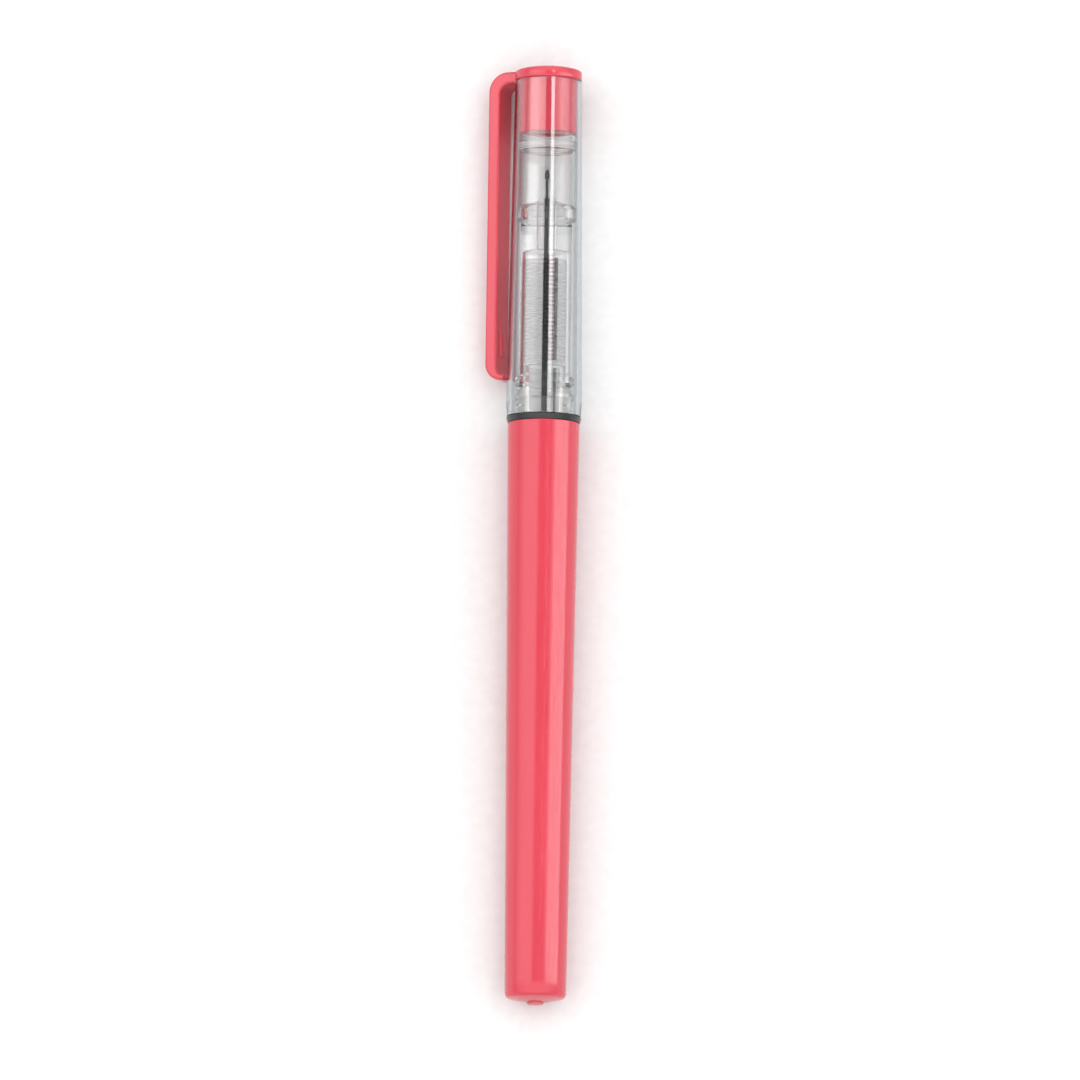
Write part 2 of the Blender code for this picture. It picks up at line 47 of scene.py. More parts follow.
# How far a clear wall has turned away, from 0 facing to 1 edge on, where its deeper tint sets in
# and where it is full. That deeper tint is partly the longer path through the plastic and partly painted
# shade.
EDGE_SHADE_START = 0.3
EDGE_SHADE_END = 0.56

# Stations along the pen.
BARREL_MOUTH = 86.52
RING_LOW = 86.57
RING_HIGH = 87.45
CAP_MOUTH = 87.5
CAP_WIDEST = 90.5
CAP_TOP = 137.95
FLANGE_LOW = 138.0
DOME_LOW = 139.2
DOME_TOP = 140.0

# Outer radii.
NUB_RADIUS = 1.2
TAIL_RADIUS = 4.55
BARREL_RADIUS = 5.33
RING_RADIUS = 5.55
CAP_MOUTH_RADIUS = 5.48
CAP_RADIUS = 5.6
CAP_TOP_RADIUS = 4.97
FLANGE_RADIUS = 4.95

# The closed end of the barrel, the small plug in it and the clearance round its nub.
TAIL_FLOOR = 3.4
TAIL_HOLE = 1.0
TAIL_FACE = 0.95
NUB_SEAT = 1.0
NUB_GAP = 0.06
STEM_RADIUS = 0.92
STEM_TOP = 3.2
WELL_RADIUS = 3.52

# The thread between barrel and connector.
THREAD_LEAD = 1.5
THREAD_DEPTH = 0.3
THREAD_ROWS = 20
THREAD_GAP = 0.13
MALE_ROOT = 3.45
MALE_LOW = 80.4
MALE_HIGH = 85.4
FEMALE_ROOT = MALE_ROOT + THREAD_DEPTH + THREAD_GAP
FEMALE_LOW = 79.9
FEMALE_HIGH = 85.9

# The grip.
COLLAR_RADIUS = 4.15
COLLAR_TOP = 92.1
BEAD_LOW = 89.8
BEAD_TOP = 90.8
BEAD_HEIGHT = 0.2
CONNECTOR_REAR = 79.5
TAIL_BORE_MOUTH = 2.95
TAIL_BORE_FLOOR = 2.87
THROAT_RADIUS = 2.4
WEB_LOW = 83.9
WEB_HIGH = 86.0
SPOUT_RADIUS = 1.5
SPOUT_TIP = 77.5
SPIGOT_RADIUS = 3.15
SPIGOT_TOP = 95.0
SECTION_LOW = 92.2
FLARE_RADIUS = 4.35
FLARE_TOP = 93.2
SECTION_BORE = 3.25
SECTION_RADIUS = 3.82
SECTION_SHOULDER = 116.3
NOSE_RADIUS = 3.05
NOSE_TIP_RADIUS = 2.72
NOSE_TOP = 119.45
NOSE_BORE = 1.3
CHAMBER_TOP = 112.2
FIN_LOW = 95.6
FIN_TOP = 111.1
FIN_PITCH = 0.62
FIN_THICKNESS = FIN_PITCH / 2
FIN_RADIUS = 3.1
HUB_RADIUS = 1.1
HUB_TOP = 111.8
CHANNEL_ANGLE = 16.0
CHANNEL_OFFSET = 1.6
CHANNEL_INK = (2.65, 3.0)
COLLAR_INK = (1.95, 2.15)
COLLAR_INK_ANGLE = 42.0
INK_SWEEP = 7.5
INK_FACETS = 8
WICK_RADIUS = 0.425
WICK_GAP = 0.15
WICK_HOLE = 0.55
WICK_LOW = 77.7
WICK_TOP = 111.1

# The brush tip and its holder.
TIP_TOP = 124.65
TIP_RADIUS = 0.33
TIP_NECK_RADIUS = 0.175
TIP_ROOT_RADIUS = 0.335
TIP_ROOT_LOW = 111.3
TIP_COLLAR_RADIUS = 0.4
TIP_COLLAR_LOW = 119.4
TIP_COLLAR_TOP = 120.2
HOLDER_ROOT = 112.6
HOLDER_RADIUS = 1.5
HOLDER_WAIST = 0.75
HOLDER_TOP = 123.0

# The inside of the cap.
CAP_MOUTH_BORE = 4.9
CAP_TOP_BORE = 4.42
SEAL_LOW = 116.9
SEAL_DISC = 128.6
SEAL_TOP = 129.6
SEAL_RADIUS = 4.38
SEAL_BORE = 3.2
SEAL_WAIST = 4.2
SEAL_CHAMBER = 3.85
SEAL_CEILING = 127.5
SEAL_SKIRT = 3.75
PLUG_LOW = 129.9
PLUG_RADIUS = 4.3
PLUG_BORE = 3.1
PLUG_CEILING = 136.8

# The cartridge.
CARTRIDGE_LOW = 30.0
CARTRIDGE_SHOULDER = 79.2
CARTRIDGE_TOP = 83.7
CARTRIDGE_RADIUS = 3.4
CARTRIDGE_BORE = 2.8
NECK_RADIUS = 2.75
NECK_BORE = 1.6
BALL_RADIUS = 1.2
INK_TOP = 73.5
INK_RADIUS = 2.65

# The clip.
CLIP_OUTER = 8.8
CLIP_INNER = 7.0
CLIP_WIDTH = 4.4
CLIP_EDGE = 0.35
CLIP_TIP = 93.2
ARCH_TOP = 139.4
ARCH_UNDERSIDE = 137.65
ARCH_OUTER_BEND = 2.9
ARCH_INNER_BEND = 1.6
TIP_BEND = 2.5
TOE_TOP = 95.15
TOE_END = 6.1
TOE_THICKNESS = 0.85
KNOB_TOP = 103.0
KNOB_CREST = 98.0
KNOB_LOW = 96.8
KNOB_REACH = 6.7
KNOB_WIDTH = 1.7
KNOB_EDGE = 0.4
KNOB_ROOT = 0.4
ROOT_INSIDE = 2.0
NOTCH_WIDTH = 4.6
NOTCH_FLOOR = 137.55

# The view: a long lens, nearly straight down, a little from the tail's side.
LENS = 600.0
SENSOR = 36.0
VIEW_WIDTH = 159.6
VIEW_TILT = 9.28
VIEW_ROLL = 0.84
VIEW_ASIDE = 0.30
VIEW_ALONG = 0.83

# Radiance of the dome at the horizon and overhead, and the most that any light reaches.
HORIZON_LEVEL = 0.3
ZENITH_LEVEL = 1.75
PEAK_LEVEL = 8.0
BAND_SOFTNESS = 0.008

# Half the floor's side, in metres, and its two tones.
FLOOR_HALF = 3.0
FLOOR_LIGHT = (0.77, 0.77, 0.77)
FLOOR_DARK = (0.73, 0.73, 0.73)

# Bands of lamps: the middle and half width of each along Y, and its radiance by the angle from
# straight up towards +X.  The barrel mirrors the first one and the cap the second.
BARREL_BAND = (0.119, 0.040)
BARREL_LAMPS = [
    (-90, 0.6),
    (-60, 2.2),
    (-20, 2.2),
    (-10, 0.12),
    (24, 0.12),
    (34, 2.0),
    (41, 4.9),
    (87, 4.7),
    (90, 1.2),
]
CAP_BAND = (0.207, 0.04)
CAP_LAMPS = [
    (-90, 0.4),
    (-75, 0.8),
    (-62, 3.6),
    (-40, 3.8),
    (-22, 2.6),
    (-10, 2.2),
    (-7, 0.1),
    (10, 0.1),
    (12, 7.0),
    (21, 7.0),
    (24, 0.8),
    (38, 1.0),
    (50, 2.0),
    (75, 1.5),
    (86, 0.2),
]
LIGHT_BANDS = [(BARREL_BAND, BARREL_LAMPS), (CAP_BAND, CAP_LAMPS)]


def pen_matrix(record):
    """The pen's axes in the row frame, from the record's flat faces on the tail and on the clip."""
    mounts = {mount["name"]: mount for mount in record["mounts"]}
    along = -Vector(mounts["tail_face"]["axis"]).normalized()
    out = Vector(mounts["clip_face"]["axis"])
    out = (out - along * out.dot(along)).normalized()
    turn = Matrix((out, along.cross(out), along)).transposed().to_4x4()
    return Matrix.Translation(mounts["tail_face"]["pos_m"]) @ turn


# ---------------------------------------------------------------- shapes


def rounded(outline):
    """An outline whose (radius, station, fillet) corners become arcs; the others stay as they are."""
    points = []
    for i, (radius, station, *fillet) in enumerate(outline):
        if not fillet:
            points.append((radius, station))
            continue
        corner = Vector((radius, station))
        back = Vector(outline[i - 1][:2]) - corner
        ahead = Vector(outline[(i + 1) % len(outline)][:2]) - corner
        half = back.angle(ahead) / 2
        reach = min(fillet[0] / math.tan(half), 0.49 * min(back.length, ahead.length))
        start = corner + back.normalized() * reach
        end = corner + ahead.normalized() * reach
        middle = (back.normalized() + ahead.normalized()).normalized()
        centre = corner + middle * (reach / math.cos(half))
        size = (start - centre).length
        for k in range(FILLET_STEPS + 1):
            spoke = (start - centre).lerp(end - centre, k / FILLET_STEPS)
            points.append(tuple(centre + spoke.normalized() * size))
    return points


def arc(centre, across, along, start, end, steps):
    """Points along an arc of an ellipse with those two half-axes, between two angles in degrees."""
    angles = [math.radians(start + (end - start) * i / steps) for i in range(steps + 1)]
    return [(centre[0] + across * math.cos(a), centre[1] + along * math.sin(a)) for a in angles]


def thread_rows(radius, low, high, depth):
    """Outline points of a threaded stretch, which fades out at both ends."""
    count = round((high - low) / THREAD_LEAD * THREAD_ROWS)
    rows = []
    for i in range(count + 1):
        fade = min(1.0, i / THREAD_ROWS, (count - i) / THREAD_ROWS)
        rows.append((radius, low + (high - low) * i / count, depth * fade))
    return rows


def thread_height(station, angle):
    """How far a right-hand thread stands up there, from 0 to 1, with flat crests and roots."""
    wave = math.cos(math.tau * station / THREAD_LEAD - angle)
    return 0.5 + 0.5 * max(-1.0, min(1.0, 1.5 * wave))


def turned_point(radius, station, depth, angle):
    """One point of a turned surface; a depth above 0 is a male thread and one below 0 a female one."""
    if depth:
        height = thread_height(station, angle)
        radius += depth * height if depth > 0 else depth * (1 - height)
    return radius * math.cos(angle) * MM, radius * math.sin(angle) * MM, station * MM


def turned(outline, facets, first=0.0, sweep=360.0):
    """A closed solid turned about Z; with a sweep under 360 degrees its two ends are flat."""
    bm = bmesh.new()
    steps = facets if sweep >= 360 else facets + 1
    angles = [math.radians(first + sweep * i / facets) for i in range(steps)]
    rings = []
    for radius, station, *depth in outline:
        if radius == 0:
            rings.append([bm.verts.new((0, 0, station * MM))] * steps)
        else:
            rings.append([bm.verts.new(turned_point(radius, station, sum(depth), a)) for a in angles])
    for ring, following in zip(rings, rings[1:] + rings[:1]):
        for i in range(facets):
            j = (i + 1) % steps
            corners = list(dict.fromkeys((ring[i], ring[j], following[j], following[i])))
            if len(corners) > 2:
                bm.faces.new(corners)
    if sweep < 360:
        bm.faces.new([ring[0] for ring in rings])
        bm.faces.new([ring[-1] for ring in reversed(rings)])
    return bm


def slab(outline, width):
    """A closed (x, z) outline given a width along Y."""
    bm = bmesh.new()
    sides = []
    for y in (-width / 2, width / 2):
        sides.append([bm.verts.new((x * MM, y * MM, z * MM)) for x, z in outline])
    bm.faces.new(sides[0])
    bm.faces.new(reversed(sides[1]))
    for i in range(len(outline)):
        j = (i + 1) % len(outline)
        bm.faces.new((sides[0][j], sides[0][i], sides[1][i], sides[1][j]))
    bmesh.ops.recalc_face_normals(bm, faces=bm.faces)
    return bm


def merge(bm, part):
    """Add one bmesh to another."""
    mesh = bpy.data.meshes.new("part")
    part.to_mesh(mesh)
    part.free()
    bm.from_mesh(mesh)
    bpy.data.meshes.remove(mesh)


def add_object(name, bm):
    """A mesh drawn in the pen's axes becomes an object in the row frame, like the CAD's own."""
    bm.transform(PEN)
    mesh = bpy.data.meshes.new(name)
    bm.to_mesh(mesh)
    bm.free()
    mesh.shade_smooth()
    mesh.set_sharp_from_angle(angle=SHARP_ANGLE)
    made = bpy.data.objects.new(name, mesh)
    bpy.context.scene.collection.objects.link(made)
    return made


def add_piece(name, bm, body, finish):
    """A piece that stands for the CAD node of its name and rides on that body."""
    made = add_object(name + "_fine", bm)
    made.data.materials.append(finish)
    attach(made, body)
    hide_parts(name)
    PIECES.append(made)
    return made


def even_normals(made):
    """Let the large faces set the shading, so that a fillet doesn't bend the long run beside it."""
    made.modifiers.new("even normals", "WEIGHTED_NORMAL").keep_sharp = True


def apply_modifiers(made):
    """Turn the object's modifiers into its mesh."""
    graph = bpy.context.evaluated_depsgraph_get()
    mesh = bpy.data.meshes.new_from_object(made.evaluated_get(graph))
    made.modifiers.clear()
    made.data = mesh
    mesh.set_sharp_from_angle(angle=SHARP_ANGLE)


# ---------------------------------------------------------------- finishes


class Nodes:
    """A new material's node tree, with short calls for its nodes and links."""

    def __init__(self, name):
        self.material = bpy.data.materials.new(name)
        self.material.use_nodes = True
        self.tree = self.material.node_tree
        self.shader = self.tree.nodes["Principled BSDF"]
        self.output = self.tree.nodes["Material Output"]
        self.place = self.add("ShaderNodeTexCoord").outputs["Object"]

    def add(self, kind, **values):
        """A new node with those properties."""
        node = self.tree.nodes.new(kind)
        for key, value in values.items():
            setattr(node, key, value)
        return node

    def link(self, source, target):
        """A link from an output to an input."""
        self.tree.links.new(source, target)

    def scaled(self, scale):
        """The place in the row frame, where Y runs along the pen, times three factors per millimetre."""
        node = self.add("ShaderNodeMapping")
        node.inputs["Scale"].default_value = [value / MM for value in scale]
        self.link(self.place, node.inputs["Vector"])
        return node.outputs["Vector"]

    def noise(self, scale, detail=3.0, rough=0.5):
        """Noise stretched by three factors per millimetre."""
        node = self.add("ShaderNodeTexNoise")
        node.inputs["Scale"].default_value = 1.0
        node.inputs["Detail"].default_value = detail
        node.inputs["Roughness"].default_value = rough
        self.link(self.scaled(scale), node.inputs["Vector"])
        return node.outputs["Fac"]

    def span(self, source, low, high, start=0.3, end=0.7):
        """A value mapped from start..end to low..high."""
        node = self.add("ShaderNodeMapRange")
        node.inputs["From Min"].default_value = start
        node.inputs["From Max"].default_value = end
        node.inputs["To Min"].default_value = low
        node.inputs["To Max"].default_value = high
        self.link(source, node.inputs["Value"])
        return node.outputs["Result"]

    def blend(self, factor, first, second):
        """A colour between two others."""
        node = self.add("ShaderNodeMix", data_type="RGBA")
        self.link(factor, node.inputs["Factor"])
        node.inputs[6].default_value = (*first, 1.0)
        node.inputs[7].default_value = (*second, 1.0)
        return node.outputs[2]

    def bump(self, height, distance, strength=1.0):
        """Relief of that many millimetres on the shader."""
        node = self.add("ShaderNodeBump")
        node.inputs["Distance"].default_value = distance * MM
        node.inputs["Strength"].default_value = strength
        self.link(height, node.inputs["Height"])
        self.link(node.outputs["Normal"], self.shader.inputs["Normal"])

    def set(self, **values):
        """Constant values on the shader's own sockets."""
        for key, value in values.items():
            self.shader.inputs[key.replace("_", " ")].default_value = value


def opaque_plastic(name, colour, deep, roughness, waviness=0.006):
    """Moulded plastic: faint flow streaks in the colour, a slightly wavy skin and fine rub marks."""
    n = Nodes(name)
    flow = n.noise((0.35, 0.05, 0.35), 4.0)
    n.link(n.blend(n.span(flow, 0.0, 1.0), colour, deep), n.shader.inputs["Base Color"])
    rubs = n.noise((3.0, 0.25, 3.0), 5.0, 0.65)
    n.link(n.span(rubs, roughness - 0.04, roughness + 0.07), n.shader.inputs["Roughness"])
    n.bump(n.noise((0.9, 0.3, 0.9), 2.0), waviness)
    n.set(IOR=1.5)
    return n.material


def clear_plastic(name, tint, edge, roughness, index=1.49, shade=0.9, waviness=0.002):
    """Clear moulded plastic with faint rub marks, and a deeper tint where it is seen along its wall,
    partly from the longer path through the plastic and partly painted shade.

    Lamps shine straight through it onto what it holds, dimmed to shade at each surface.
    """
    n = Nodes(name)
    n.set(IOR=index, Transmission_Weight=1.0)
    # Painted shade: the tint turns to the darker edge colour as the wall turns edge on, standing in for
    # the dark floor seen through it.
    slant = n.add("ShaderNodeLayerWeight").outputs["Facing"]
    depth = n.span(slant, 0.0, 1.0, EDGE_SHADE_START, EDGE_SHADE_END)
    n.link(n.blend(depth, tint, edge), n.shader.inputs["Base Color"])
    rubs = n.noise((4.0, 0.3, 4.0), 5.0, 0.7)
    n.link(n.span(rubs, roughness, roughness + 0.04, 0.45, 0.8), n.shader.inputs["Roughness"])
    n.bump(n.noise((0.6, 0.15, 0.6), 2.0), waviness)
    through = n.add("ShaderNodeBsdfTransparent")
    through.inputs["Color"].default_value = (shade, shade, shade, 1.0)
    rays = n.add("ShaderNodeLightPath")
    lit = n.add("ShaderNodeMath", operation="MAXIMUM")
    n.link(rays.outputs["Is Shadow Ray"], lit.inputs[0])
    n.link(rays.outputs["Is Diffuse Ray"], lit.inputs[1])
    mix = n.add("ShaderNodeMixShader")
    n.link(lit.outputs[0], mix.inputs["Fac"])
    n.link(n.shader.outputs["BSDF"], mix.inputs[1])
    n.link(through.outputs["BSDF"], mix.inputs[2])
    n.link(mix.outputs["Shader"], n.output.inputs["Surface"])
    return n.material


def fibre(name, colour, roughness):
    """Bonded fibres that run along the pen, wet with ink."""
    n = Nodes(name)
    strands = n.noise((22.0, 0.8, 22.0), 3.0)
    lighter = tuple(4 * value for value in colour)
    n.link(n.blend(n.span(strands, 0.0, 1.0), colour, lighter), n.shader.inputs["Base Color"])
    n.link(n.span(strands, roughness - 0.1, roughness + 0.15), n.shader.inputs["Roughness"])
    n.bump(strands, 0.02)
    return n.material


def steel(name):
    """A polished ball with faint swirls."""
    n = Nodes(name)
    swirl = n.noise((1.5, 1.5, 1.5), 4.0)
    tone = n.blend(n.span(swirl, 0.0, 1.0), (0.62, 0.62, 0.63), (0.5, 0.5, 0.52))
    n.link(tone, n.shader.inputs["Base Color"])
    n.link(n.span(swirl, 0.08, 0.2), n.shader.inputs["Roughness"])
    n.set(Metallic=1.0)
    return n.material


def floor_finish():
    """A pale matt sheet with a faint tooth."""
    n = Nodes("pale_floor")
    tooth = n.noise((0.6, 0.6, 0.6), 4.0)
    n.link(n.blend(n.span(tooth, 0.0, 1.0), FLOOR_LIGHT, FLOOR_DARK), n.shader.inputs["Base Color"])
    n.set(Roughness=0.9)
    return n.material


# ---------------------------------------------------------------- pieces


def add_barrel(finish):
    """The long tapered tube, closed at the tail, with the female thread inside its mouth."""
    outline = rounded(
        [
            (TAIL_HOLE, NUB_SEAT),
            (NUB_RADIUS + NUB_GAP, NUB_SEAT),
            (NUB_RADIUS + NUB_GAP, 0.27, 0.05),
            (TAIL_RADIUS - 0.03, TAIL_FACE, 0.75),
            (TAIL_RADIUS + 0.015, 3.2),
            (BARREL_RADIUS, BARREL_MOUTH, 0.12),
            (FEMALE_ROOT + 0.12, BARREL_MOUTH, 0.08),
            (FEMALE_ROOT, BARREL_MOUTH - 0.3),
        ]
    )
    outline += reversed(thread_rows(FEMALE_ROOT, FEMALE_LOW, FEMALE_HIGH, -THREAD_DEPTH))
    outline += rounded(
        [
            (FEMALE_ROOT + 0.1, FEMALE_LOW - 0.4),
            (WELL_RADIUS, TAIL_FLOOR, 0.8),
            (TAIL_HOLE, TAIL_FLOOR),
        ]
    )
    add_piece("barrel", turned(outline, SHELL_FACETS), "barrel", finish)


def add_tail_plug(finish):
    """The small plug in the tail, with its nub outside and its stem through the hole."""
    outline = rounded(
        [
            (0, 0.06),
            (0.35, 0.06),
            (0.5, 0.0, 0.05),
            (NUB_RADIUS, 0.0, 0.12),
            (NUB_RADIUS, TAIL_FACE),
            (STEM_RADIUS, TAIL_FACE),
            (STEM_RADIUS, STEM_TOP, 0.1),
            (0, STEM_TOP),
        ]
    )
    add_piece("tail_plug", turned(outline, INNER_FACETS), "barrel", finish)


def add_collar_ring(finish):
    """The black ring between barrel and cap, a little flared towards the cap."""
    bore = MALE_ROOT + THREAD_DEPTH + 0.1
    outline = rounded(
        [
            (bore, RING_LOW, 0.06),
            (BARREL_RADIUS + 0.01, RING_LOW, 0.06),
            (RING_RADIUS, RING_HIGH - 0.1, 0.08),
            (RING_RADIUS - 0.1, RING_HIGH, 0.06),
            (bore, RING_HIGH, 0.06),
        ]
    )
    add_piece("collar_ring", turned(outline, SHELL_FACETS), "ring", finish)


def add_connector(finish):
    """Collar, threaded tail and piercing spout, with the wick's hole right through."""
    hole = WICK_RADIUS + WICK_GAP
    outline = [
        (TAIL_BORE_MOUTH, CONNECTOR_REAR),
        (MALE_ROOT - 0.15, CONNECTOR_REAR),
        (MALE_ROOT, CONNECTOR_REAR + 0.3),
    ]
    outline += thread_rows(MALE_ROOT, MALE_LOW, MALE_HIGH, THREAD_DEPTH)
    outline += rounded(
        [
            (MALE_ROOT, CAP_MOUTH - 0.1),
            (MALE_ROOT, CAP_MOUTH, 0.08),
            (COLLAR_RADIUS, CAP_MOUTH, 0.1),
            (COLLAR_RADIUS, BEAD_LOW, 0.1),
            (COLLAR_RADIUS + BEAD_HEIGHT, BEAD_LOW + 0.3, 0.1),
            (COLLAR_RADIUS + BEAD_HEIGHT, BEAD_TOP - 0.3, 0.1),
            (COLLAR_RADIUS, BEAD_TOP, 0.1),
            (COLLAR_RADIUS, COLLAR_TOP, 0.2),
            (SPIGOT_RADIUS, COLLAR_TOP, 0.05),
            (SPIGOT_RADIUS, SPIGOT_TOP, 0.1),
            (THROAT_RADIUS, SPIGOT_TOP, 0.1),
            (THROAT_RADIUS - 0.2, WEB_HIGH, 0.3),
            (hole, WEB_HIGH, 0.05),
            (hole, SPOUT_TIP),
            (0.9, SPOUT_TIP, 0.08),
            (SPOUT_RADIUS, SPOUT_TIP + 1.0, 0.2),
            (SPOUT_RADIUS, WEB_LOW, 0.1),
            (TAIL_BORE_FLOOR, WEB_LOW, 0.2),
            (TAIL_BORE_FLOOR + 0.03, CONNECTOR_REAR + 1),
        ]
    )
    add_piece("connector", turned(outline, INNER_FACETS), "section", finish)


def add_section_shell(finish):
    """The clear grip, flared at its rear, with a stepped nose and a bore for the tip's holder."""
    outline = rounded(
        [
            (SECTION_BORE, SECTION_LOW, 0.05),
            (FLARE_RADIUS, SECTION_LOW, 0.08),
            (FLARE_RADIUS, FLARE_TOP, 0.3),
            (SECTION_RADIUS, FLARE_TOP + 0.5, 0.3),
            (SECTION_RADIUS, SECTION_SHOULDER + 0.15, 0.35),
            (NOSE_RADIUS, SECTION_SHOULDER + 0.4, 0.12),
            (NOSE_TIP_RADIUS, NOSE_TOP, 0.3),
            (NOSE_BORE, NOSE_TOP, 0.05),
            (NOSE_BORE, CHAMBER_TOP + 0.2, 0.05),
            (SECTION_BORE - 0.1, CHAMBER_TOP, 0.3),
        ]
    )
    add_piece("section_shell", turned(outline, INNER_FACETS), "section", finish)


def add_collector(finish, roll):
    """The comb; its lengthwise channel faces up and a little away from the clip."""
    outline = [(WICK_HOLE, FIN_LOW - 0.3), (HUB_RADIUS, FIN_LOW - 0.3)]
    count = round((FIN_TOP - FIN_LOW) / FIN_PITCH)
    for i in range(count):
        low = FIN_LOW + FIN_PITCH * i
        high = low + FIN_THICKNESS
        outline += [(HUB_RADIUS, low), (FIN_RADIUS, low), (FIN_RADIUS, high), (HUB_RADIUS, high)]
    outline += [(HUB_RADIUS, HUB_TOP), (WICK_HOLE, HUB_TOP)]
    channel = 90 + roll + math.degrees(math.asin(CHANNEL_OFFSET / FIN_RADIUS))
    comb = turned(outline, INNER_FACETS, channel + CHANNEL_ANGLE / 2, 360 - CHANNEL_ANGLE)
    add_piece("collector", comb, "section", finish)


def ink_run(radii, low, high, middle):
    """A narrow rounded run of ink along a wall, between two radii."""
    inner, outer = radii
    outline = rounded([(inner, low, 0.05), (outer, low, 0.1), (outer, high, 0.1), (inner, high, 0.05)])
    return turned(outline, INK_FACETS, middle - INK_SWEEP / 2, INK_SWEEP)


def add_channel_ink(finish, roll):
    """The ink that runs through the collector's channel, and the thin run of it in the collar."""
    up = 90 + roll
    channel = up + math.degrees(math.asin(CHANNEL_OFFSET / FIN_RADIUS))
    bm = ink_run(CHANNEL_INK, FIN_LOW + 0.1, FIN_TOP - 0.1, channel)
    merge(bm, ink_run(COLLAR_INK, CAP_MOUTH, SPIGOT_TOP - 0.4, up + COLLAR_INK_ANGLE))
    runs = add_object("channel_ink", bm)
    runs.data.materials.append(finish)
    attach(runs, "section")
    PIECES.append(runs)


def add_feed_wick(finish):
    """The dark rod that leads the ink from the spout to the tip."""
    outline = rounded(
        [
            (0, WICK_LOW),
            (WICK_RADIUS, WICK_LOW, 0.12),
            (WICK_RADIUS, WICK_TOP, 0.12),
            (0, WICK_TOP),
        ]
    )
    add_piece("feed_wick", turned(outline, ROD_FACETS), "section", finish)


def add_tip_holder(finish):
    """The clear cone round the tip's neck, whose stem sits in the section's nose."""
    outline = rounded(
        [
            (0.45, HOLDER_ROOT),
            (NOSE_BORE - 0.1, HOLDER_ROOT, 0.15),
            (NOSE_BORE - 0.1, NOSE_TOP + 0.06, 0.04),
            (HOLDER_RADIUS, NOSE_TOP + 0.06, 0.08),
            (HOLDER_RADIUS, NOSE_TOP + 0.45, 0.15),
            (HOLDER_WAIST, NOSE_TOP + 1.4, 1.0),
            (0.45, HOLDER_TOP - 0.2, 0.3),
            (0.38, HOLDER_TOP, 0.05),
            (TIP_NECK_RADIUS + 0.07, HOLDER_TOP, 0.02),
            (TIP_NECK_RADIUS + 0.07, TIP_COLLAR_TOP + 0.35),
            (TIP_COLLAR_RADIUS + 0.07, TIP_COLLAR_TOP + 0.15),
        ]
    )
    add_piece("tip_holder", turned(outline, INNER_FACETS), "section", finish)


def add_brush_tip(finish):
    """The soft point is bullet shaped; its neck and root run down inside the holder to the wick."""
    outline = rounded(
        [
            (0, TIP_ROOT_LOW),
            (TIP_ROOT_RADIUS, TIP_ROOT_LOW, 0.05),
            (TIP_ROOT_RADIUS, TIP_COLLAR_LOW),
            (TIP_COLLAR_RADIUS, TIP_COLLAR_LOW + 0.1, 0.04),
            (TIP_COLLAR_RADIUS, TIP_COLLAR_TOP, 0.1),
            (TIP_NECK_RADIUS, TIP_COLLAR_TOP, 0.05),
            (TIP_NECK_RADIUS, HOLDER_TOP + 0.08),
        ]
    )
    base = (0, HOLDER_TOP + 0.55)
    outline += arc(base, TIP_RADIUS, 0.4, -50, 0, 5)
    outline += arc(base, TIP_RADIUS, TIP_TOP - base[1], 0, 90, 12)[1:-1]
    outline.append((0, TIP_TOP))
    add_piece("brush_tip", turned(outline, ROD_FACETS), "section", finish)


def add_cap_shell(finish):
    """The clear tube of the cap, with a notch in its top edge that keys the clip."""
    outline = rounded(
        [
            (CAP_MOUTH_BORE, CAP_MOUTH, 0.12),
            (CAP_MOUTH_RADIUS, CAP_MOUTH, 0.12),
            (CAP_RADIUS, CAP_WIDEST - 0.6, 1.5),
            (CAP_TOP_RADIUS, CAP_TOP, 0.12),
            (CAP_TOP_BORE, CAP_TOP, 0.05),
            (CAP_MOUTH_BORE, CAP_WIDEST, 0.5),
        ]
    )
    shell = add_piece("cap_shell", turned(outline, SHELL_FACETS), "cap", finish)
    box = [(3.0, NOTCH_FLOOR), (6.0, NOTCH_FLOOR), (6.0, DOME_LOW), (3.0, DOME_LOW)]
    cutter = add_object("notch_cutter", slab(box, NOTCH_WIDTH))
    cut = shell.modifiers.new("clip notch", "BOOLEAN")
    cut.object = cutter
    cut.operation = "DIFFERENCE"
    apply_modifiers(shell)
    bpy.data.objects.remove(cutter)


def add_inner_cap(finish):
    """The clear cup inside the cap that seals on the section's nose, with a skirt on its top."""
    outline = rounded(
        [
            (0, SEAL_CEILING),
            (SEAL_CHAMBER, SEAL_CEILING, 0.35),
            (SEAL_CHAMBER, SEAL_LOW + 2.1, 0.2),
            (SEAL_BORE, SEAL_LOW + 1.6, 0.15),
            (SEAL_BORE, SEAL_LOW, 0.1),
            (SEAL_RADIUS, SEAL_LOW, 0.12),
            (SEAL_RADIUS, SEAL_LOW + 1.75, 0.12),
            (SEAL_WAIST, SEAL_LOW + 1.95, 0.1),
            (SEAL_WAIST, SEAL_DISC - 1.15, 0.1),
            (SEAL_RADIUS, SEAL_DISC - 0.95, 0.1),
            (SEAL_RADIUS, SEAL_TOP, 0.1),
            (SEAL_SKIRT, SEAL_TOP, 0.1),
            (SEAL_SKIRT - 0.1, SEAL_DISC, 0.15),
            (0, SEAL_DISC),
        ]
    )
    add_piece("inner_cap", turned(outline, INNER_FACETS), "cap", finish)


def eased(start, end):
    """Points along a smooth S from one (x, z) point up to, but without, another one further down."""
    points = []
    for i in range(EASE_STEPS):
        ease = (1 - math.cos(math.pi * i / EASE_STEPS)) / 2
        across = start[0] + (end[0] - start[0]) * ease
        points.append((across, start[1] + (end[1] - start[1]) * i / EASE_STEPS))
    return points


